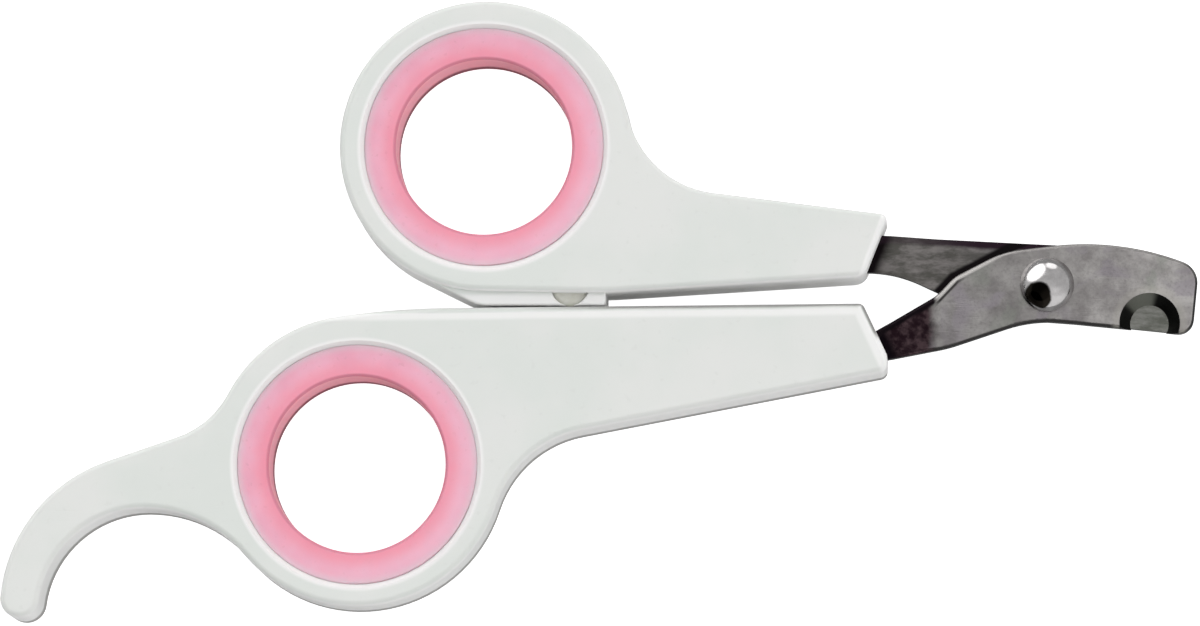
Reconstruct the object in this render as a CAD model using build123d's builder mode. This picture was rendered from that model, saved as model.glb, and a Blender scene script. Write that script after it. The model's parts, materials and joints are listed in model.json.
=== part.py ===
"""Scissor nail clipper for small pets: two plastic handles with soft finger rings, two steel blades, one rivet.

The clipper lies flat and closed. X runs along its length towards the blades, Y towards the upper
handle and Z up from the surface that it lies on. The origin is at the centre of its footprint.
All sizes are in millimetres.
"""

import math
import os

from build123d import *

# ---- handles ----
HANDLE_THICKNESS = 8.0
MID = HANDLE_THICKNESS / 2  # both handles and both tangs are centred on this height
EDGE_RADIUS = 0.6
LOOP_RADIUS = 15.25
UPPER_LOOP = (-11.8, 17.2)
LOWER_LOOP = (-24.95, -15.8)
UPPER_ROOT_RADIUS = 10.4  # where an arm's outer side runs into its loop
LOWER_ROOT_RADIUS = 11.4
STOP_LEDGE = 0.6  # the stop block under the upper handle is this much lower than the handle's faces
STOP_EDGE = 0.5
STOP_CHAMFER = 0.15

# ---- hook for the little finger ----
HOOK_TOP_START = (-38.1, -11.38)
HOOK_OUTER = (-45.72, -31.35)
HOOK_OUTER_RADIUS = 16.38
HOOK_TIP = (-60.0, -30.2)
HOOK_INNER = (-47.1, -31.8)
HOOK_ROOT_RADIUS = 9.3

# ---- finger rings ----
UPPER_RING = (-11.95, 17.1)
LOWER_RING = (-24.93, -16.2)
RING_BORE_RADIUS = 9.2
RING_OUTER_RADIUS = 12.5
RING_RECESS = 0.33  # the ring's faces lie this far below the handle's
RING_LIP_RADIUS = 0.35  # rounds the bore's two ends
RING_EDGE_RADIUS = 0.12
RIB_HEIGHT = 1.0  # the rib in the loop that the ring's groove snaps over
RIB_WIDTH = 3.0
SEAT_CHAMFER = 0.45

# ---- blades ----
PIVOT = (46.75, 2.85)
BLADE_THICKNESS = 1.5
BLADE_GAP = 0.02  # between the two blades, and above the washer
BEND_START = 30.8  # each shank steps sideways between these two places
BEND_END = 35.2
BEND_RADIUS = 3.0
BLADE_EDGE_RADIUS = 0.35  # the outer faces' edges are tumbled smooth, the inner faces' stay sharp
TANG_END = 6.0
TANG_HOLES = (11.0, 19.0)
TANG_HOLE_RADIUS = 0.9
NOTCH_EDGE_RADIUS = 2.0  # at the sharp edge, where the blades meet
NOTCH_FACE_RADIUS = 3.15  # at the outer face
FRONT_NOTCH = (57.4, -1.15)
REAR_NOTCH = (57.9, 5.1)

# ---- rivet ----
RIVET_RADIUS = 1.75
RIVET_RUNNING_CLEARANCE = 0.05
RIVET_HEAD_RADIUS = 2.8
RIVET_HEAD_RIM = 0.3
RIVET_HEAD_HEIGHT = 1.9
WASHER_RADIUS = 2.9
WASHER_THICKNESS = 0.5
TAIL_RADIUS = 2.4
TAIL_HEIGHT = 0.8
TAIL_RIM = 0.15

# ---- bumper ----
BUMPER_RADIUS = 1.95
BUMPER_CENTRE = (-2.9, 2.4)
BUMPER_RECESS = 1.2  # below the handle's faces, so that only the stop block leaves it open
BUMPER_ROUNDING = 0.5

# ---- heights that follow from them ----
FRONT_BLADE_BOTTOM = MID + BLADE_GAP / 2
FRONT_BLADE_TOP = FRONT_BLADE_BOTTOM + BLADE_THICKNESS
REAR_BLADE_TOP = MID - BLADE_GAP / 2
REAR_BLADE_BOTTOM = REAR_BLADE_TOP - BLADE_THICKNESS
TANG_BOTTOM = MID - BLADE_THICKNESS / 2
WASHER_TOP = REAR_BLADE_BOTTOM - BLADE_GAP
WASHER_BOTTOM = WASHER_TOP - WASHER_THICKNESS
BUMPER_LENGTH = HANDLE_THICKNESS - 2 * BUMPER_RECESS


def tangent_point(start, centre, radius, side):
    """Where a line from start touches a circle; side is +1 or -1 for the one or the other of the two."""
    away = math.dist(start, centre)
    facing = math.atan2(start[1] - centre[1], start[0] - centre[0])
    angle = facing + side * math.acos(radius / away)
    return centre[0] + radius * math.cos(angle), centre[1] + radius * math.sin(angle)


def towards(start, target, distance):
    """The point at the given distance from start in the direction of target."""
    share = distance / math.dist(start, target)
    return start[0] + share * (target[0] - start[0]), start[1] + share * (target[1] - start[1])


def arc_about(centre, start, end):
    """Adds the shorter arc about centre from start to end."""
    middle = ((start[0] + end[0]) / 2, (start[1] + end[1]) / 2)
    return ThreePointArc(start, towards(centre, middle, math.dist(centre, start[:2])), end)


def rounded_outline(*corners):
    """A flat face; each corner is x, y and the radius that rounds it."""
    points = [(x, y) for x, y, _ in corners]
    with BuildSketch() as outline:
        with BuildLine():
            FilletPolyline(*points, radius=[r for _, _, r in corners], close=True)
        make_face()
    return outline.sketch


def bent_sheet(blade_bottom):
    """The side view of sheet metal that steps from the tang's height to the blade's."""
    left, right = -10.0, 80.0
    step = [(left, TANG_BOTTOM), (BEND_START, TANG_BOTTOM), (BEND_END, blade_bottom), (right, blade_bottom)]
    with BuildSketch(Plane.XZ) as sheet:
        with BuildLine():
            lower = FilletPolyline(*step, radius=BEND_RADIUS)
            upper = FilletPolyline(*[(x, z + BLADE_THICKNESS) for x, z in step], radius=BEND_RADIUS)
            Line(lower @ 0, upper @ 0)
            Line(lower @ 1, upper @ 1)
        make_face()
    return sheet.sketch


def rim_edges(faces):
    """The edges round a group of joined faces, without those where two of them meet."""
    edges = [edge for face in faces for edge in face.edges()]
    return [edge for edge in edges if sum(edge.is_same(other) for other in edges) == 1]


def upright_plane(centre):
    """A plane for profiles that are given as radius and height and turned about centre."""
    return Plane(origin=(centre[0], centre[1], 0), x_dir=(1, 0, 0), z_dir=(0, -1, 0))


def upright_axis(centre):
    return Axis((centre[0], centre[1], 0), (0, 0, 1))


# ---- front blade, carried by the lower handle ----
front_blank = rounded_outline(
    (TANG_END, -8.0, 0.8),
    (27.5, -5.35, 6.0),
    (36.4, -3.77, 15.0),
    (45.3, -0.77, 13.5),
    (61.85, -2.4, 1.6),
    (62.55, 4.64, 2.3),
    (54.16, 7.77, 28.5),
    (42.2, 6.33, 10.0),
    (37.1, 3.68, 4.0),
    (35.2, 1.68, 3.0),
    (26.8, -3.08, 4.0),
    (TANG_END, -3.4, 0.8),
)
front_sheet = bent_sheet(FRONT_BLADE_BOTTOM)

with BuildPart() as front_blade:
    extrude(front_blank, amount=HANDLE_THICKNESS)
    extrude(front_sheet, amount=50, both=True, mode=Mode.INTERSECT)
    outer_faces = front_blade.faces().filter_by(lambda face: face.normal_at().Z > 0.9)
    fillet(rim_edges(outer_faces), BLADE_EDGE_RADIUS)
    with BuildSketch():
        with Locations(PIVOT):
            Circle(RIVET_RADIUS)
        with Locations((TANG_HOLES[0], -5.4), (TANG_HOLES[1], -4.6)):
            Circle(TANG_HOLE_RADIUS)
    extrude(amount=HANDLE_THICKNESS, mode=Mode.SUBTRACT)
    with BuildSketch(upright_plane(FRONT_NOTCH)):
        with BuildLine():
            Polyline(
                (0, FRONT_BLADE_BOTTOM),
                (NOTCH_EDGE_RADIUS, FRONT_BLADE_BOTTOM),
                (NOTCH_FACE_RADIUS, FRONT_BLADE_TOP),
                (0, FRONT_BLADE_TOP),
                close=True,
            )
        make_face()
    revolve(axis=upright_axis(FRONT_NOTCH), mode=Mode.SUBTRACT)
front_blade.part.label = "front_blade"

# ---- rear blade, carried by the upper handle ----
rear_blank = rounded_outline(
    (TANG_END, 4.4, 0.8),
    (31.0, 4.2, 14.0),
    (37.5, 1.25, 8.0),
    (44.5, -0.68, 12.0),
    (53.5, -1.35, 30.0),
    (61.2, -2.15, 1.2),
    (61.7, 4.1, 0.8),
    (49.0, 7.09, 15.0),
    (TANG_END, 9.31, 0.8),
)
rear_sheet = bent_sheet(REAR_BLADE_BOTTOM)

with BuildPart() as rear_blade:
    extrude(rear_blank, amount=HANDLE_THICKNESS)
    extrude(rear_sheet, amount=50, both=True, mode=Mode.INTERSECT)
    outer_faces = rear_blade.faces().filter_by(lambda face: face.normal_at().Z < -0.9)
    fillet(rim_edges(outer_faces), BLADE_EDGE_RADIUS)
    with BuildSketch():
        with Locations(PIVOT):
            Circle(RIVET_RADIUS + RIVET_RUNNING_CLEARANCE)
        with Locations((TANG_HOLES[0], 6.7), (TANG_HOLES[1], 6.4)):
            Circle(TANG_HOLE_RADIUS)
    extrude(amount=HANDLE_THICKNESS, mode=Mode.SUBTRACT)
    with BuildSketch(upright_plane(REAR_NOTCH)):
        with BuildLine():
            Polyline(
                (0, REAR_BLADE_BOTTOM),
                (NOTCH_FACE_RADIUS, REAR_BLADE_BOTTOM),
                (NOTCH_EDGE_RADIUS, REAR_BLADE_TOP),
                (0, REAR_BLADE_TOP),
                close=True,
            )
        make_face()
    revolve(axis=upright_axis(REAR_NOTCH), mode=Mode.SUBTRACT)
rear_blade.part.label = "rear_blade"

# ---- pivot rivet: domed head, shank and peened tail ----
with BuildPart() as pivot_rivet:
    with BuildSketch(upright_plane(PIVOT)):
        with BuildLine():
            middle = Line((0, WASHER_BOTTOM - TAIL_HEIGHT), (0, FRONT_BLADE_TOP + RIVET_HEAD_HEIGHT))
            head_rim = (RIVET_HEAD_RADIUS, FRONT_BLADE_TOP + RIVET_HEAD_RIM)
            tail_rim = (TAIL_RADIUS, WASHER_BOTTOM - TAIL_RIM)
            TangentArc(middle @ 1, head_rim, tangent=(1, 0))
            TangentArc(middle @ 0, tail_rim, tangent=(1, 0))
            Polyline(
                head_rim,
                (RIVET_HEAD_RADIUS, FRONT_BLADE_TOP),
                (RIVET_RADIUS, FRONT_BLADE_TOP),
                (RIVET_RADIUS, WASHER_BOTTOM),
                (TAIL_RADIUS, WASHER_BOTTOM),
                tail_rim,
            )
        make_face()
    revolve(axis=upright_axis(PIVOT))
pivot_rivet.part.label = "pivot_rivet"

# ---- washer under the peened tail ----
with BuildPart() as rivet_washer:
    with BuildSketch(Plane.XY.offset(WASHER_BOTTOM)):
        with Locations(PIVOT):
            Circle(WASHER_RADIUS)
            Circle(RIVET_RADIUS, mode=Mode.SUBTRACT)
    extrude(amount=WASHER_THICKNESS)
    chamfer(rivet_washer.edges().group_by(Axis.Z)[0].sort_by(SortBy.RADIUS)[-1], 0.12)
rivet_washer.part.label = "rivet_washer"

# ---- stop bumper: a soft plug that snaps into the upper handle from the side and meets the lower one ----
with BuildPart() as stop_bumper:
    with Locations((*BUMPER_CENTRE, MID)):
        Cylinder(BUMPER_RADIUS, BUMPER_LENGTH)
    fillet(stop_bumper.edges().filter_by(GeomType.CIRCLE), BUMPER_ROUNDING)
stop_bumper.part.label = "stop_bumper"


def finger_ring(centre):
    """A soft ring with a rounded bore and a groove for the rib in its loop."""
    bottom, top = RING_RECESS, HANDLE_THICKNESS - RING_RECESS
    with BuildPart() as ring:
        with BuildSketch(upright_plane(centre)):
            with BuildLine():
                FilletPolyline(
                    (RING_BORE_RADIUS, bottom),
                    (RING_OUTER_RADIUS, bottom),
                    (RING_OUTER_RADIUS, MID - RIB_WIDTH / 2),
                    (RING_OUTER_RADIUS - RIB_HEIGHT, MID - RIB_WIDTH / 2),
                    (RING_OUTER_RADIUS - RIB_HEIGHT, MID + RIB_WIDTH / 2),
                    (RING_OUTER_RADIUS, MID + RIB_WIDTH / 2),
                    (RING_OUTER_RADIUS, top),
                    (RING_BORE_RADIUS, top),
                    radius=[RING_LIP_RADIUS, RING_EDGE_RADIUS, 0, 0, 0, 0, RING_EDGE_RADIUS, RING_LIP_RADIUS],
                    close=True,
                )
            make_face()
        revolve(axis=upright_axis(centre))
    return ring.part


upper_finger_ring = finger_ring(UPPER_RING)
upper_finger_ring.label = "upper_finger_ring"
lower_finger_ring = finger_ring(LOWER_RING)
lower_finger_ring.label = "lower_finger_ring"


def ring_seat(centre):
    """What a loop loses for its ring: a bore on either side of the rib, each with a bevelled entry."""
    seat, rib = RING_OUTER_RADIUS, RING_OUTER_RADIUS - RIB_HEIGHT
    rib_bottom, rib_top = MID - RIB_WIDTH / 2, MID + RIB_WIDTH / 2
    with BuildPart() as cutter:
        with BuildSketch(upright_plane(centre)):
            with BuildLine():
                Polyline(
                    (0, 0),
                    (seat + SEAT_CHAMFER, 0),
                    (seat, SEAT_CHAMFER),
                    (seat, rib_bottom),
                    (rib, rib_bottom),
                    (rib, rib_top),
                    (seat, rib_top),
                    (seat, HANDLE_THICKNESS - SEAT_CHAMFER),
                    (seat + SEAT_CHAMFER, HANDLE_THICKNESS),
                    (0, HANDLE_THICKNESS),
                    close=True,
                )
            make_face()
        revolve(axis=upright_axis(centre))
    return cutter.part


# ---- upper handle ----
upper_arm = rounded_outline(
    (*tangent_point((1.0, 1.75), UPPER_LOOP, LOOP_RADIUS, -1), 0),
    (1.0, 1.75, 30.0),
    (27.72, 3.43, 1.6),
    (30.25, 9.96, 0.5),
    (-5.0, 14.42, 0),
)
stop_left = tangent_point((-12.4, STOP_EDGE), UPPER_LOOP, LOOP_RADIUS, -1)
stop_outline = rounded_outline(
    (*stop_left, 0),
    (-12.4, STOP_EDGE, 4.0),
    (0.85, STOP_EDGE, 0.3),
    (0.85, 4.0, 0),
    (-10.0, 5.0, 0),
)

with BuildPart() as stop_block:
    with BuildSketch(Plane.XY.offset(STOP_LEDGE)):
        add(stop_outline)
        with Locations(BUMPER_CENTRE):
            Circle(BUMPER_RADIUS, mode=Mode.SUBTRACT)
    extrude(amount=HANDLE_THICKNESS - 2 * STOP_LEDGE)
    chamfer(stop_block.faces().filter_by(Plane.XY).edges(), STOP_CHAMFER)
upper_seat = ring_seat(UPPER_RING)

with BuildPart() as upper_handle:
    with BuildSketch() as upper_outline:
        with Locations(UPPER_LOOP):
            Circle(LOOP_RADIUS)
        add(upper_arm)
        fillet(upper_outline.vertices().sort_by_distance((2.9, 13.4))[0], UPPER_ROOT_RADIUS)
    extrude(amount=HANDLE_THICKNESS)
    fillet(upper_handle.faces().filter_by(Plane.XY).edges(), EDGE_RADIUS)
    add(stop_block.part)
    add(upper_seat, mode=Mode.SUBTRACT)
    with Locations((*BUMPER_CENTRE, MID)):
        Cylinder(BUMPER_RADIUS, BUMPER_LENGTH, mode=Mode.SUBTRACT)
    add(rear_blade.part, mode=Mode.SUBTRACT)
upper_handle.part.label = "upper_handle"

# ---- lower handle ----
top_corner = (-21.2, 0.12)
lower_arm = rounded_outline(
    (*tangent_point(top_corner, LOWER_LOOP, LOOP_RADIUS, 1), 0),
    (-25.0, -10.0, 0),
    (-14.0, -15.05, 0),
    (30.15, -6.47, 0.9),
    (30.15, -4.75, 0.7),
    (27.6, 0.65, 0.7),
    (*top_corner, 80.0),
)
tip_radius = HOOK_OUTER_RADIUS - math.dist(HOOK_OUTER, HOOK_TIP)
inner_radius = math.dist(HOOK_TIP, HOOK_INNER) - tip_radius
inner_top = (HOOK_INNER[0], HOOK_INNER[1] + inner_radius)

with BuildSketch() as hook:
    with BuildLine():
        hook_start = Line(HOOK_TOP_START, tangent_point(HOOK_TOP_START, HOOK_OUTER, HOOK_OUTER_RADIUS, 1))
        outer_end = towards(HOOK_OUTER, HOOK_TIP, HOOK_OUTER_RADIUS)
        arc_about(HOOK_OUTER, tuple(hook_start @ 1), outer_end)
        tip_end = towards(HOOK_TIP, HOOK_INNER, tip_radius)
        ThreePointArc(outer_end, (HOOK_TIP[0], HOOK_TIP[1] - tip_radius), tip_end)
        arc_about(HOOK_INNER, tip_end, inner_top)
        loop_side = CenterArc(LOWER_LOOP, LOOP_RADIUS, 180, 90, mode=Mode.PRIVATE)
        right_arc = DoubleTangentArc(inner_top, (1, 0), loop_side)
        Polyline(right_arc @ 1, LOWER_LOOP, hook_start @ 0)
    make_face()
lower_seat = ring_seat(LOWER_RING)

with BuildPart() as lower_handle:
    with BuildSketch() as lower_outline:
        with Locations(LOWER_LOOP):
            Circle(LOOP_RADIUS)
        add(lower_arm)
        add(hook.sketch)
        fillet(lower_outline.vertices().sort_by_distance((-9.9, -14.2))[0], LOWER_ROOT_RADIUS)
        fillet(lower_outline.vertices().sort_by_distance((-39.5, -11.5))[0], HOOK_ROOT_RADIUS)
    extrude(amount=HANDLE_THICKNESS)
    fillet(lower_handle.faces().filter_by(Plane.XY).edges(), EDGE_RADIUS)
    add(lower_seat, mode=Mode.SUBTRACT)
    add(front_blade.part, mode=Mode.SUBTRACT)
lower_handle.part.label = "lower_handle"

# ---- files ----
os.makedirs("parts", exist_ok=True)
export_step(lower_handle.part, "parts/lower_handle.step")
export_step(upper_handle.part, "parts/upper_handle.step")
export_step(lower_finger_ring, "parts/lower_finger_ring.step")
export_step(upper_finger_ring, "parts/upper_finger_ring.step")
export_step(front_blade.part, "parts/front_blade.step")
export_step(rear_blade.part, "parts/rear_blade.step")
export_step(pivot_rivet.part, "parts/pivot_rivet.step")
export_step(rivet_washer.part, "parts/rivet_washer.step")
export_step(stop_bumper.part, "parts/stop_bumper.step")
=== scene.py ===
"""Looks for the scissor nail clipper: moulded handles, soft pink rings and tumbled steel blades."""

import json
import math

import bpy
from mathutils import Matrix, Vector


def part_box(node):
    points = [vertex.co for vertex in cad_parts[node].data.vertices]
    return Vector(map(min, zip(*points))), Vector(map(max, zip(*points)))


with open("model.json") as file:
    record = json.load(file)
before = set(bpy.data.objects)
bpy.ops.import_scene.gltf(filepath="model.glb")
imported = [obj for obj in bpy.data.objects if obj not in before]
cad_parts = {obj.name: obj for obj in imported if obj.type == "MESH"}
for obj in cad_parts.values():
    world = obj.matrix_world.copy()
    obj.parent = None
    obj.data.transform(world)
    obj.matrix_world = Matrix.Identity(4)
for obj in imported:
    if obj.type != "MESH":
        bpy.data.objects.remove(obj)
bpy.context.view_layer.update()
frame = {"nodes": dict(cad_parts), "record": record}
MM = 0.001
STREAK_LENGTH = 12.0  # a scratch's length over its width
scene = bpy.context.scene


# ---- node helpers ----
def new_material(name):
    """A material with an empty tree, its tree and its Principled shader."""
    material = bpy.data.materials.new(name)
    material.use_nodes = True
    tree = material.node_tree
    tree.nodes.clear()
    out = tree.nodes.new("ShaderNodeOutputMaterial")
    shader = tree.nodes.new("ShaderNodeBsdfPrincipled")
    tree.links.new(shader.outputs[0], out.inputs["Surface"])
    return material, tree, shader


def put(tree, value, socket):
    """Links a node's output into a socket, or sets the socket to a plain value."""
    if isinstance(value, bpy.types.NodeSocket):
        tree.links.new(value, socket)
    elif socket.type == "RGBA" and len(value) == 3:
        socket.default_value = (*value, 1.0)
    else:
        socket.default_value = value


def plain(node, values):
    """Sets the sockets whose value is the same all over."""
    for name, value in values.items():
        node.inputs[name].default_value = value


def math_node(tree, operation, a, b=0.0):
    """The result of a Math node on two numbers or outputs."""
    node = tree.nodes.new("ShaderNodeMath")
    node.operation = operation
    put(tree, a, node.inputs[0])
    put(tree, b, node.inputs[1])
    return node.outputs[0]


def plus(tree, a, b):
    return math_node(tree, "ADD", a, b)


def minus(tree, a, b):
    return math_node(tree, "SUBTRACT", a, b)


def times(tree, a, b):
    return math_node(tree, "MULTIPLY", a, b)


def apart(tree, a, b):
    """How far two numbers are apart, whichever is larger."""
    return math_node(tree, "ABSOLUTE", minus(tree, a, b))


def ramp(tree, value, low, high, to_low=0.0, to_high=1.0):
    """Smoothly maps value from low..high onto to_low..to_high."""
    node = tree.nodes.new("ShaderNodeMapRange")
    node.interpolation_type = "SMOOTHSTEP"
    put(tree, value, node.inputs["Value"])
    plain(node, {"From Min": low, "From Max": high, "To Min": to_low, "To Max": to_high})
    return node.outputs["Result"]


def fade(tree, value, low, high, start=1.0):
    """Smoothly falls from start, where value is at most low, to 0 at high."""
    return ramp(tree, value, low, high, start, 0.0)


def mix(tree, factor, a, b, blend="MIX"):
    """Colour a, or b where factor is 1."""
    node = tree.nodes.new("ShaderNodeMix")
    node.data_type = "RGBA"
    node.blend_type = blend
    put(tree, factor, node.inputs["Factor"])
    put(tree, a, node.inputs["A"])
    put(tree, b, node.inputs["B"])
    return node.outputs["Result"]


def place(tree, stretch=(1.0, 1.0, 1.0), turn=0.0):
    """Object coordinates in millimetres, turned about Z by turn degrees and stretched."""
    coords = tree.nodes.new("ShaderNodeTexCoord")
    node = tree.nodes.new("ShaderNodeMapping")
    plain(node, {"Rotation": (0, 0, math.radians(turn)), "Scale": [s / MM for s in stretch]})
    tree.links.new(coords.outputs["Object"], node.inputs["Vector"])
    return node.outputs["Vector"]


def noise(tree, vector, size, detail=3.0, rough=0.55, distortion=0.0):
    """Noise whose blotches are about size millimetres across, from 0 to 1."""
    node = tree.nodes.new("ShaderNodeTexNoise")
    tree.links.new(vector, node.inputs["Vector"])
    plain(node, {"Scale": 1.0 / size, "Detail": detail})
    plain(node, {"Roughness": rough, "Distortion": distortion})
    return node.outputs["Fac"]


def grey(tree, value):
    """A colour with the same value in all three channels."""
    node = tree.nodes.new("ShaderNodeCombineColor")
    for socket in node.inputs:
        tree.links.new(value, socket)
    return node.outputs[0]


def bump(tree, height, depth_mm, below=None):
    """A bump of a given depth for a height that runs from 0 to 1."""
    node = tree.nodes.new("ShaderNodeBump")
    plain(node, {"Strength": 1.0, "Distance": depth_mm * MM})
    put(tree, height, node.inputs["Height"])
    if below is not None:
        tree.links.new(below, node.inputs["Normal"])
    return node.outputs["Normal"]


def position(tree):
    """The X, Y and Z outputs of a point's place in the part's frame, in millimetres."""
    node = tree.nodes.new("ShaderNodeSeparateXYZ")
    tree.links.new(place(tree), node.inputs[0])
    return node.outputs


def from_axis(tree, x, y):
    """Distance in millimetres from an upright axis at x, y millimetres."""
    here = position(tree)
    dx = minus(tree, here[0], x)
    dy = minus(tree, here[1], y)
    square = plus(tree, times(tree, dx, dx), times(tree, dy, dy))
    return math_node(tree, "SQRT", square)


def past_line(tree, start, end):
    """Signed distance in millimetres from the line from start to end, positive on its right."""
    (x0, y0), (x1, y1) = start, end
    length = math.dist(start, end)
    here = position(tree)
    across = times(tree, minus(tree, here[0], x0), (y1 - y0) / length)
    along = times(tree, minus(tree, here[1], y0), (x0 - x1) / length)
    return plus(tree, across, along)


def ragged(tree, distance, blotches, amount):
    """The same distance with an uneven edge."""
    return plus(tree, distance, times(tree, minus(tree, blotches, 0.5), amount))


def facing_sideways(tree, start, end):
    """0 on flat faces and 1 on upright ones; the normal's up-down part runs from start to end."""
    coords = tree.nodes.new("ShaderNodeTexCoord")
    parts = tree.nodes.new("ShaderNodeSeparateXYZ")
    tree.links.new(coords.outputs["Normal"], parts.inputs[0])
    return fade(tree, math_node(tree, "ABSOLUTE", parts.outputs[2]), end, start)


def facing(tree, direction, start, end):
    """1 on faces and bevels that lean towards a level direction, 0 on the others."""
    node = tree.nodes.new("ShaderNodeVectorMath")
    node.operation = "DOT_PRODUCT"
    tree.links.new(tree.nodes.new("ShaderNodeTexCoord").outputs["Normal"], node.inputs[0])
    node.inputs[1].default_value = (*direction, 0)
    return ramp(tree, node.outputs["Value"], start, end)


def not_upright(tree):
    """1 on flat faces and on the rounded edges beside them, 0 on upright ones."""
    return minus(tree, 1.0, facing_sideways(tree, 0.4, 0.15))


def shade_near_table(tree, full, none):
    """1 low down on upright faces, for painted shade near the table, and 0 above none millimetres.

    It leaves out faces that look towards +Y, where it would show as a black band.
    """
    height = ragged(tree, position(tree)[2], noise(tree, place(tree), 5.0), 0.9)
    low = times(tree, facing_sideways(tree, 0.9, 0.5), fade(tree, height, full, none))
    return times(tree, low, minus(tree, 1.0, facing(tree, (0, 1), 0.3, 0.95)))


def scratches(tree, turn, size, thin, level):
    """A few long fine lines in one direction, 1 on a line and 0 beside it."""
    streaks = noise(tree, place(tree, (1 / STREAK_LENGTH, 1.0, 1.0), turn), size, 2.0, 0.5)
    lines = ramp(tree, streaks, level, level + thin)
    patches = ramp(tree, noise(tree, place(tree), 6.0, 1.0), 0.45, 0.62)
    return times(tree, lines, patches)


def shine(tree, shader, flat, upright):
    """Sets the specular level of flat faces and of upright ones."""
    drop = times(tree, facing_sideways(tree, 0.6, 0.2), flat - upright)
    put(tree, minus(tree, flat, drop), shader.inputs["Specular IOR Level"])


def middle(node):
    """The X and Y of the middle of a CAD node's box, in millimetres."""
    low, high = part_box(node)
    return (low.x + high.x) / 2 / MM, (low.y + high.y) / 2 / MM


RINGS = [middle("upper_finger_ring"), middle("lower_finger_ring")]
MOUNTS = {mount["name"]: mount for mount in frame["record"]["mounts"]}
BORE = MOUNTS["upper_finger_bore"]["dims"]["r_mm"]
RING_SEAT = 12.5  # the radius where the soft rings end and the loops begin
PAST_RING = 14.0  # the radius beyond which a point belongs to the other ring
MID_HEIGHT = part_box("lower_handle")[1].z / 2 / MM
PIVOT = [c / MM for c in frame["record"]["behaviour"]["joints"][0]["pos_m"][:2]]
# lines that marks follow, in millimetres: the handles' ends, where the blades leave them
UPPER_END = ((27.72, 3.43), (30.25, 9.96))
LOWER_END = ((27.6, 0.65), (30.15, -4.75))
# the lower handle's upper edge, and the front and rear blades' upper edges
LOWER_TOP = ((-21.2, 0.12), (27.6, 0.65))
FRONT_SHANK_TOP = ((26.8, -3.08), (35.2, 1.68))
SHOULDER = ((35.2, 1.68), (37.1, 3.68), (42.2, 6.33))
REAR_TOP = ((6.0, 9.31), (49.0, 7.09))
NOTCH, NOTCH_RADIUS = (57.4, -1.15), 3.2
SHANK_END = SHOULDER[0][0]
# where marks fade, from and to, along X
EDGE_SHADE_BEGINS = (-10.0, 4.0)
REAR_TOP_DARKENS = (30.0, 40.0)
REAR_DULL_ENDS = (38.0, 47.0)
CREASE_ENDS = (37.0, 39.0)
BEVEL_ENDS = (39.5, 42.5)
JAWS_BRIGHTEN = (42.0, 58.0)
# along Y, and along Z
EDGE_SHADE_STOPS = (-3.4, -2.2)
STOP_BLOCK_FOOT = (1.3, 1.9)
HANDLE_SHADED_WALL = (1.9, 3.2)
RING_SHADED_WALL = (1.6, 3.2)
DOME_FOOT = (MID_HEIGHT, MID_HEIGHT + 0.4)
# from the rivet's axis, and the middle of the painted dark reflection on it
RIVET_RIM = (2.55, 2.65)
DARK_REFLECTION_CENTRE = (PIVOT[0] - 1.0, PIVOT[1] - 1.35)
HIGHLIGHT_WHITE = (0.93, 0.93, 0.92)
NOTCH_SHADE_GREY = (0.150, 0.155, 0.135)


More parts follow.
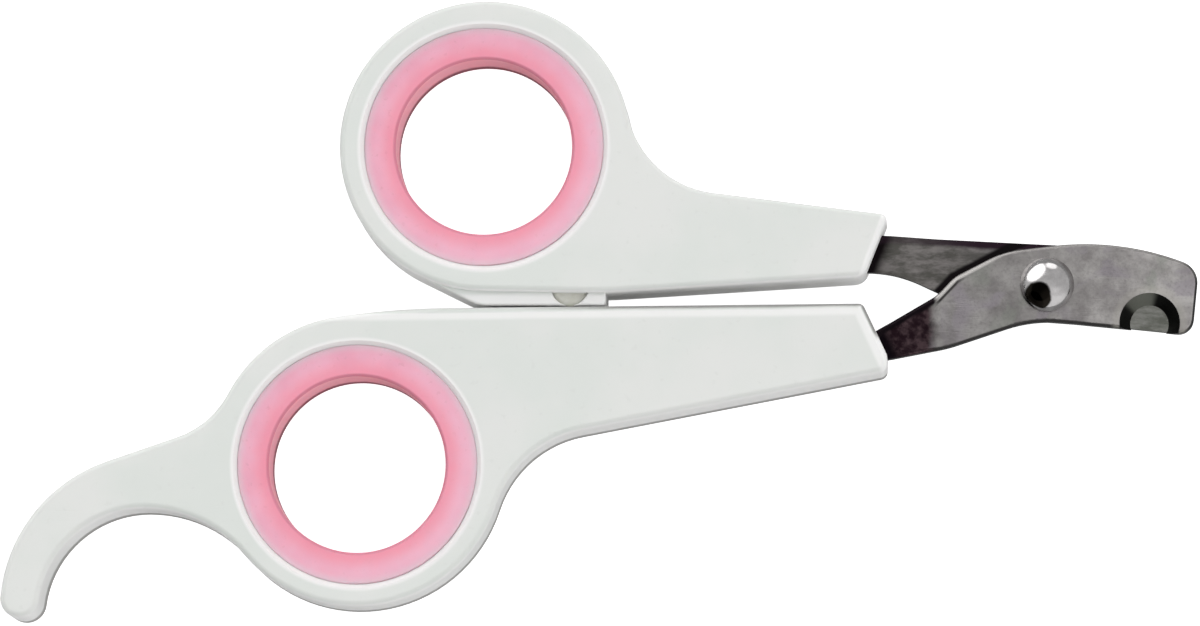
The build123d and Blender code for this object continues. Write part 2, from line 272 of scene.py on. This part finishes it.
# ---- materials ----
def handle_plastic(name, contact_shade, end, shaded_edge=None):
    """White plastic, with painted shade low on its walls, as strong as its second argument says,
    and a painted highlight along its end.

    The handle with a shaded edge has a line of painted shade and a band of painted highlight along
    that edge and its end. The other one is lightened with painted light on its stop block and on
    the walls that face the shaded edge.
    """
    material, tree, shader = new_material(name)
    here = place(tree)
    cloudy = noise(tree, here, 14.0, 3.0)
    flecks = noise(tree, here, 0.9, 2.0)
    tone = mix(tree, ramp(tree, cloudy, 0.35, 0.65), (0.755, 0.785, 0.755), (0.795, 0.805, 0.785))
    tone = mix(tree, ramp(tree, flecks, 0.62, 0.75, 0.0, 0.3), tone, (0.70, 0.715, 0.69))
    for ring in RINGS:
        radius = from_axis(tree, *ring)
        past_ring = minus(tree, radius, RING_SEAT)
        # painted highlight on the chamfer of each ring's seat
        rim = times(tree, ramp(tree, past_ring, -0.05, 0.1), fade(tree, past_ring, 0.5, 0.9))
        tone = mix(tree, rim, tone, (0.90, 0.90, 0.89))
    # walls lightened with painted light to offset their shade, the ones towards -Y the most
    tone = mix(tree, facing_sideways(tree, 0.8, 0.3), tone, (0.80, 0.80, 0.79))
    tone = mix(tree, facing(tree, (0, -1), 0.5, 0.9), tone, (0.86, 0.86, 0.85))
    # painted shade low on the walls, near the table
    shaded_wall = times(tree, shade_near_table(tree, *HANDLE_SHADED_WALL), contact_shade)
    tone = mix(tree, shaded_wall, tone, (0.25, 0.245, 0.235))
    from_end = past_line(tree, *end)
    # a painted highlight along the handle's end
    end_highlight = fade(tree, ragged(tree, from_end, cloudy, 0.3), 0.45, 0.8)
    tone = mix(tree, end_highlight, tone, (0.96, 0.96, 0.95))
    if shaded_edge:
        inside = math_node(tree, "MINIMUM", from_end, past_line(tree, *shaded_edge))
        inside = ragged(tree, inside, cloudy, 0.3)
        x, y = position(tree)[:2]
        begins, stops = ramp(tree, x, *EDGE_SHADE_BEGINS, 0.2, 1.0), ramp(tree, y, *EDGE_SHADE_STOPS)
        fading = times(tree, stops, begins)
        # painted shade: a grey line along the shaded edge and the end, where the other handle
        # shades it
        darker = times(tree, fade(tree, inside, 0.2, 0.5), fading)
        darker = times(tree, darker, not_upright(tree))
        tone = mix(tree, darker, tone, (0.30, 0.30, 0.29))
        # a band of painted highlight just inside that line of painted shade
        edge_highlight = times(tree, ramp(tree, inside, 0.45, 0.65), fade(tree, inside, 1.0, 1.5, 0.8))
        edge_highlight = times(tree, edge_highlight, not_upright(tree))
        tone = mix(tree, edge_highlight, tone, HIGHLIGHT_WHITE)
    else:
        # painted light on the stop block's foot and on the walls towards -Y, which face the other
        # handle, to offset their shade
        foot = fade(tree, position(tree)[1], *STOP_BLOCK_FOOT, 0.9)
        towards_edge = ramp(tree, facing(tree, (0, -1), 0.6, 0.9), 0.0, 1.0, 0.0, 0.9)
        lighter = math_node(tree, "MAXIMUM", foot, towards_edge)
        tone = mix(tree, lighter, tone, HIGHLIGHT_WHITE)
    put(tree, tone, shader.inputs["Base Color"])
    scuffs, crossing = scratches(tree, 24, 0.35, 0.03, 0.68), scratches(tree, -61, 0.4, 0.03, 0.70)
    scuffs = plus(tree, scuffs, crossing)
    gloss = plus(tree, ramp(tree, cloudy, 0.3, 0.7, 0.30, 0.40), times(tree, scuffs, 0.12))
    put(tree, gloss, shader.inputs["Roughness"])
    seam = fade(tree, apart(tree, position(tree)[2], MID_HEIGHT), 0.04, 0.14)
    normal = bump(tree, noise(tree, here, 2.4, 2.0), 0.010)
    normal = bump(tree, noise(tree, here, 0.22, 2.0), 0.0022, normal)
    normal = bump(tree, seam, 0.05, normal)
    put(tree, bump(tree, scuffs, -0.004, normal), shader.inputs["Normal"])
    shine(tree, shader, 0.4, 0.04)
    plain(shader, {"IOR": 1.49, "Subsurface Weight": 0.3})
    plain(shader, {"Subsurface Radius": (1.0, 1.0, 0.95), "Subsurface Scale": 1.0 * MM})
    return material


def ring_rubber():
    """Soft pink rubber, deeper in colour in the bore, with painted shade towards the bore, at its
    lips and low on its walls.
    """
    material, tree, shader = new_material("ring_rubber")
    here = place(tree)
    cloudy = noise(tree, here, 4.0, 4.0)
    tone = mix(tree, ramp(tree, cloudy, 0.3, 0.7), (0.885, 0.410, 0.535), (0.930, 0.485, 0.610))
    specks = noise(tree, here, 0.5, 2.0)
    tone = mix(tree, ramp(tree, specks, 0.6, 0.75, 0.0, 0.4), tone, (0.73, 0.31, 0.40))
    for ring in RINGS:
        radius = from_axis(tree, *ring)
        from_bore = minus(tree, radius, BORE)
        here_only = fade(tree, radius, PAST_RING - 1.0, PAST_RING)
        # lighter towards +X and -Y across each ring
        aslant = past_line(tree, ring, (ring[0] + 1.0, ring[1] + 1.0))
        lighter_aslant = times(tree, ramp(tree, aslant, -8.0, 13.0, 0.0, 0.55), here_only)
        tone = mix(tree, lighter_aslant, tone, (0.95, 0.54, 0.66))
        # painted shade, deeper in colour on the faces towards the bore
        shade_near_bore = times(tree, fade(tree, from_bore, 0.4, 2.2, 0.7), here_only)
        tone = mix(tree, shade_near_bore, tone, (0.90, 0.31, 0.41))
        past_ring = minus(tree, radius, RING_SEAT)
        rim = times(tree, ramp(tree, past_ring, -1.0, 0.0, 0.0, 0.75), here_only)
        tone = mix(tree, rim, tone, (0.90, 0.60, 0.68))
        bore = times(tree, fade(tree, from_bore, 0.4, 1.0), facing_sideways(tree, 0.85, 0.35))
        tone = mix(tree, bore, tone, (0.95, 0.42, 0.50))
        # painted shade on the rounded lip of the bore
        lip = times(tree, fade(tree, from_bore, 0.15, 0.4, 0.6), not_upright(tree))
        tone = mix(tree, lip, tone, (0.50, 0.16, 0.23))
    # painted shade low on the walls, near the table
    shaded_wall = times(tree, shade_near_table(tree, *RING_SHADED_WALL), 0.9)
    tone = mix(tree, shaded_wall, tone, (0.14, 0.025, 0.040))
    put(tree, tone, shader.inputs["Base Color"])
    put(tree, ramp(tree, cloudy, 0.3, 0.7, 0.42, 0.56), shader.inputs["Roughness"])
    normal = bump(tree, noise(tree, here, 1.4, 3.0), 0.014)
    put(tree, bump(tree, noise(tree, here, 0.16, 2.0), 0.004, normal), shader.inputs["Normal"])
    shine(tree, shader, 0.45, 0.04)
    plain(shader, {"IOR": 1.45, "Subsurface Weight": 0.5})
    plain(shader, {"Subsurface Radius": (1.0, 0.45, 0.5), "Subsurface Scale": 1.6 * MM})
    plain(shader, {"Sheen Weight": 0.12, "Sheen Roughness": 0.4})
    return material


def tumbled_steel(name):
    """Grey steel with warm and cool blotches and edges darkened with painted dark reflection.

    It returns the tone unplugged, so that a blade's own stains can be added to it.
    """
    material, tree, shader = new_material(name)
    here = place(tree)
    blotches = noise(tree, here, 3.2, 5.0, 0.62)
    tints = noise(tree, here, 5.0, 3.0, 0.5, 0.8)
    speckle = noise(tree, here, 0.32, 4.0, 0.65)
    fine = plus(tree, scratches(tree, 12, 0.16, 0.06, 0.60), scratches(tree, -38, 0.2, 0.05, 0.64))
    tone = mix(tree, ramp(tree, blotches, 0.3, 0.7), (0.245, 0.230, 0.228), (0.430, 0.415, 0.405))
    brighter = ramp(tree, position(tree)[0], *JAWS_BRIGHTEN, 0.95, 1.25)
    tone = mix(tree, 1.0, tone, grey(tree, brighter), "MULTIPLY")
    tone = mix(tree, ramp(tree, tints, 0.54, 0.68, 0.0, 0.6), tone, (0.290, 0.305, 0.272))
    tone = mix(tree, ramp(tree, tints, 0.46, 0.34, 0.0, 0.6), tone, (0.330, 0.298, 0.335))
    tone = mix(tree, ramp(tree, speckle, 0.45, 0.75, 0.0, 0.4), tone, (0.18, 0.17, 0.17))
    # edges darkened with painted dark reflection, darkest on those towards -Y and at the tip, and
    # darker on the upper ones
    tone = mix(tree, facing_sideways(tree, 0.5, 0.2), tone, (0.085, 0.082, 0.080))
    for direction in ((0, -1), (1, 0)):
        tone = mix(tree, facing(tree, direction, 0.12, 0.45), tone, (0.042, 0.040, 0.040))
    tone = mix(tree, facing(tree, (0.3, 0.95), 0.15, 0.4), tone, (0.12, 0.118, 0.112))
    plain(shader, {"Metallic": 1.0})
    rough = plus(tree, ramp(tree, blotches, 0.3, 0.7, 0.28, 0.42), times(tree, speckle, 0.08))
    put(tree, rough, shader.inputs["Roughness"])
    normal = bump(tree, blotches, 0.03)
    normal = bump(tree, speckle, 0.008, normal)
    put(tree, bump(tree, fine, -0.004, normal), shader.inputs["Normal"])
    return material, tree, shader, tone, blotches


def front_blade_steel():
    """Dark and mottled at the shank and black along the shank's upper edge, with painted shadow
    where it leaves the handle, painted shade and highlight at the shoulder, and painted reflection
    and highlight at the notch.
    """
    material, tree, shader, tone, blotches = tumbled_steel("front_blade_steel")
    x = position(tree)[0]
    shank = fade(tree, ragged(tree, x, blotches, 1.6), SHANK_END - 1.0, SHANK_END + 0.4)
    mottle = ramp(tree, noise(tree, place(tree, turn=30), 1.1, 4.0, 0.65), 0.38, 0.66)
    tone = mix(tree, shank, tone, mix(tree, mottle, (0.020, 0.010, 0.014), (0.085, 0.055, 0.062)))
    # painted shadow where the blade leaves the lower handle
    from_handle = ragged(tree, past_line(tree, LOWER_END[1], LOWER_END[0]), blotches, 0.8)
    tone = mix(tree, fade(tree, from_handle, 0.5, 1.8), tone, (0.006, 0.004, 0.006))
    from_top = ragged(tree, past_line(tree, *FRONT_SHANK_TOP), blotches, 0.7)
    on_shank = fade(tree, x, SHANK_END - 0.2, SHANK_END + 1.0)
    edge = times(tree, fade(tree, from_top, 0.55, 0.9), on_shank)
    tone = mix(tree, edge, tone, (0.010, 0.007, 0.009))
    # the shoulder: painted shade in a crease, a painted highlight on the bevel and painted shade on
    # the slope that leans to -X and +Y, none of them on the shank
    first, second = past_line(tree, *SHOULDER[:2]), past_line(tree, *SHOULDER[1:])
    below = math_node(tree, "MINIMUM", first, second)
    from_wedge = ramp(tree, x, SHANK_END - 0.3, SHANK_END + 0.5)
    crease_shade = fade(tree, apart(tree, below, 0.62), 0.06, 0.22, 0.85)
    crease_shade = times(tree, crease_shade, times(tree, from_wedge, fade(tree, x, *CREASE_ENDS)))
    tone = mix(tree, crease_shade, tone, (0.02, 0.018, 0.018))
    bevel_highlight = times(tree, fade(tree, below, 0.40, 0.56), fade(tree, x, *BEVEL_ENDS))
    bevel_highlight = times(tree, bevel_highlight, from_wedge)
    tone = mix(tree, bevel_highlight, tone, (0.60, 0.58, 0.56))
    shaded_slope = times(tree, facing(tree, (-0.6, 0.8), 0.15, 0.35), from_wedge)
    tone = mix(tree, shaded_slope, tone, (0.22, 0.21, 0.205))
    radius = from_axis(tree, *NOTCH)
    past_notch = minus(tree, radius, NOTCH_RADIUS)
    cone = times(tree, fade(tree, past_notch, -0.08, 0.0), facing_sideways(tree, 0.9, 0.75))
    # round the notch: -1 on its side towards the pivot, 1 at the tip
    turned = math_node(tree, "DIVIDE", minus(tree, x, NOTCH[0]), radius)
    # painted reflection on the notch's bevel: dark towards the tip and in a sliver towards the
    # pivot, mid-grey between
    notch_reflection = mix(tree, ramp(tree, turned, 0.05, 0.35), NOTCH_SHADE_GREY, (0.012, 0.012, 0.011))
    notch_reflection = mix(tree, fade(tree, turned, -0.88, -0.70), notch_reflection, (0.020, 0.020, 0.018))
    tone = mix(tree, cone, tone, notch_reflection)
    # a painted highlight in a ring just outside the notch
    halo = times(tree, ramp(tree, past_notch, -0.1, 0.1), fade(tree, past_notch, 0.3, 1.0, 0.35))
    tone = mix(tree, halo, tone, (0.52, 0.50, 0.45))
    put(tree, tone, shader.inputs["Base Color"])
    return material


def rear_blade_steel():
    """Dull and dark towards the handle and along its top, with painted shadow where it leaves the
    handle and along the front blade's shoulder, and painted shade inside the notch.
    """
    material, tree, shader, tone, blotches = tumbled_steel("rear_blade_steel")
    x = position(tree)[0]
    streaks = ramp(tree, noise(tree, place(tree, (0.35, 1.0, 1.0), 10), 0.9, 4.0, 0.65), 0.35, 0.68)
    darker = mix(tree, streaks, (0.085, 0.082, 0.074), (0.215, 0.200, 0.195))
    tone = mix(tree, fade(tree, ragged(tree, x, blotches, 4.0), *REAR_DULL_ENDS, 0.95), tone, darker)
    # painted shadow where the blade leaves the upper handle
    from_handle = ragged(tree, past_line(tree, *UPPER_END), blotches, 0.7)
    tone = mix(tree, fade(tree, from_handle, 0.4, 1.5), tone, (0.008, 0.006, 0.007))
    from_top = ragged(tree, past_line(tree, *REAR_TOP), blotches, 0.6)
    top = times(tree, fade(tree, from_top, 0.5, 1.0), ramp(tree, x, *REAR_TOP_DARKENS, 0.55, 1.0))
    tone = mix(tree, top, tone, (0.030, 0.017, 0.026))
    # painted shadow of the front blade's shoulder, along where that lies when the jaws are closed
    first, second = (times(tree, past_line(tree, *SHOULDER[i : i + 2]), -1.0) for i in (0, 1))
    outside = math_node(tree, "MAXIMUM", first, second)
    shoulder_shadow = fade(tree, apart(tree, outside, 0.15), 0.35, 0.75)
    tone = mix(tree, shoulder_shadow, tone, (0.010, 0.008, 0.009))
    # painted shade on the part seen through the front blade's notch
    in_notch = fade(tree, from_axis(tree, *NOTCH), 2.6, 3.0)
    notch_shade = mix(tree, streaks, NOTCH_SHADE_GREY, (0.300, 0.300, 0.280))
    tone = mix(tree, in_notch, tone, notch_shade)
    put(tree, tone, shader.inputs["Base Color"])
    return material


def rivet_chrome():
    """Bright metal with a painted dark reflection on the lower left of the dome."""
    material, tree, shader = new_material("rivet_chrome")
    here = place(tree)
    haze = noise(tree, here, 1.2, 4.0)
    tone = mix(tree, ramp(tree, haze, 0.35, 0.7), (0.44, 0.43, 0.43), (0.34, 0.33, 0.33))
    from_dark_reflection = plus(tree, from_axis(tree, *DARK_REFLECTION_CENTRE), times(tree, haze, 0.5))
    inside_rim = fade(tree, from_axis(tree, *PIVOT), *RIVET_RIM)
    dark_reflection = times(tree, fade(tree, from_dark_reflection, 1.55, 1.8), inside_rim)
    dark_reflection = times(tree, dark_reflection, ramp(tree, position(tree)[2], *DOME_FOOT))
    put(tree, mix(tree, dark_reflection, tone, (0.012, 0.010, 0.008)), shader.inputs["Base Color"])
    plain(shader, {"Metallic": 1.0})
    put(tree, ramp(tree, haze, 0.3, 0.75, 0.05, 0.16), shader.inputs["Roughness"])
    normal = bump(tree, noise(tree, here, 0.5, 3.0), 0.006)
    normal = bump(tree, scratches(tree, 40, 0.12, 0.05, 0.62), -0.003, normal)
    put(tree, normal, shader.inputs["Normal"])
    return material


def bumper_rubber():
    """Cloudy translucent white, slightly yellowed."""
    material, tree, shader = new_material("bumper_rubber")
    here = place(tree)
    cloudy = noise(tree, here, 0.8, 3.0)
    tone = mix(tree, ramp(tree, cloudy, 0.3, 0.7), (0.74, 0.74, 0.66), (0.80, 0.80, 0.74))
    put(tree, tone, shader.inputs["Base Color"])
    put(tree, ramp(tree, cloudy, 0.3, 0.7, 0.4, 0.55), shader.inputs["Roughness"])
    put(tree, bump(tree, noise(tree, here, 0.2, 2.0), 0.006), shader.inputs["Normal"])
    return material


def paint(node, material):
    """Gives a CAD piece a material."""
    slots = frame["nodes"][node].data.materials
    for index in range(len(slots)):
        slots[index] = material


rubber, chrome = ring_rubber(), rivet_chrome()
paint("lower_handle", handle_plastic("lower_handle_plastic", 0.85, LOWER_END, LOWER_TOP))
paint("upper_handle", handle_plastic("upper_handle_plastic", 0.15, UPPER_END[::-1]))
paint("lower_finger_ring", rubber)
paint("upper_finger_ring", rubber)
paint("front_blade", front_blade_steel())
paint("rear_blade", rear_blade_steel())
paint("pivot_rivet", chrome)
paint("rivet_washer", chrome)
paint("stop_bumper", bumper_rubber())

# ---- floor: as white as the photograph's, and it lights the walls a little ----
FLOOR_SIZE = 3.0
FLOOR_GAP = 0.2 * MM
FLOOR_GREY = (0.5, 0.5, 0.5)
SEEN_GLOW, THROWN_GLOW = 0.95, 0.4
bpy.ops.mesh.primitive_plane_add(size=FLOOR_SIZE, location=(0, 0, -FLOOR_GAP))
floor = bpy.context.object
floor.name = "floor"
floor_material, floor_tree, floor_shader = new_material("floor")
put(floor_tree, FLOOR_GREY, floor_shader.inputs["Base Color"])
plain(floor_shader, {"Roughness": 0.9, "Specular IOR Level": 0.1, "Emission Color": (1, 1, 1, 1)})
rays = floor_tree.nodes.new("ShaderNodeLightPath").outputs
seen = times(floor_tree, rays["Is Camera Ray"], SEEN_GLOW)
thrown = times(floor_tree, rays["Is Diffuse Ray"], THROWN_GLOW)
put(floor_tree, plus(floor_tree, seen, thrown), floor_shader.inputs["Emission Strength"])
floor.data.materials.append(floor_material)

# ---- soft light all round, with two lamps beyond the upper handle ----
world = bpy.data.worlds.new("studio")
scene.world = world
world.use_nodes = True
sky = world.node_tree
sky.nodes.clear()
background = sky.nodes.new("ShaderNodeBackground")
sky.links.new(background.outputs[0], sky.nodes.new("ShaderNodeOutputWorld").inputs["Surface"])
direction = sky.nodes.new("ShaderNodeTexCoord").outputs["Generated"]


def glow(towards, low, high):
    """1 in a soft patch of the sky round a direction, 0 outside it."""
    node = sky.nodes.new("ShaderNodeVectorMath")
    node.operation = "DOT_PRODUCT"
    sky.links.new(direction, node.inputs[0])
    node.inputs[1].default_value = Vector(towards).normalized()
    return ramp(sky, node.outputs["Value"], low, high)


# round patches of the sky: direction, the cosines where each ends and is full, and its strength
LAMPS = (
    ((-0.64, 0.74, 0.34), 0.79, 0.89, 3.0),
    ((0.20, 0.95, 0.18), 0.95, 0.98, 2.2),
)
PATCHES = (
    ((-0.42, -0.42, 0.80), 0.76, 0.86, -0.90),
    ((-0.60, -0.72, 0.20), 0.84, 0.93, -0.75),
    ((0.35, -0.85, 0.38), 0.45, 0.85, 0.55),
)
SKY_LEVEL = 1.065
NOT_THROWN = 0.8
level = SKY_LEVEL
for towards, low, high, strength in PATCHES:
    level = plus(sky, times(sky, glow(towards, low, high), strength), level)
# the lamps show at full strength in shiny surfaces, and throw only part of it as light
diffuse = sky.nodes.new("ShaderNodeLightPath").outputs["Is Diffuse Ray"]
share = minus(sky, 1.0, times(sky, diffuse, NOT_THROWN))
for towards, low, high, strength in LAMPS:
    lamp = times(sky, glow(towards, low, high), strength)
    level = plus(sky, times(sky, lamp, share), level)
sky.links.new(level, background.inputs["Strength"])

# ---- camera: above the clipper, a little towards its lower side and its jaws ----
LENS = 250.0
SENSOR = 36.0
FIELD = 125.4 * MM  # the width that the picture shows at the target
TO_JAWS, TO_LOWER_SIDE = math.radians(2.7), math.radians(6.5)
target = Vector((0.105, 0.053, 4.0)) * MM
back = Vector((math.sin(TO_JAWS), -math.sin(TO_LOWER_SIDE), 1.0))
back.z = math.sqrt(1 - back.x**2 - back.y**2)
camera_data = bpy.data.cameras.new("camera")
camera_data.lens = LENS
camera_data.sensor_width = SENSOR
camera = bpy.data.objects.new("camera", camera_data)
scene.collection.objects.link(camera)
camera.location = target + back * (FIELD * LENS / SENSOR)
up = back.cross(Vector((1, 0, 0))).normalized()
right = up.cross(back)
camera.rotation_euler = Matrix((right, up, back)).transposed().to_euler()
camera_data.clip_start, camera_data.clip_end = 0.01, 20.0
scene.camera = camera

scene.view_settings.view_transform = "Standard"
scene.view_settings.look = "None"
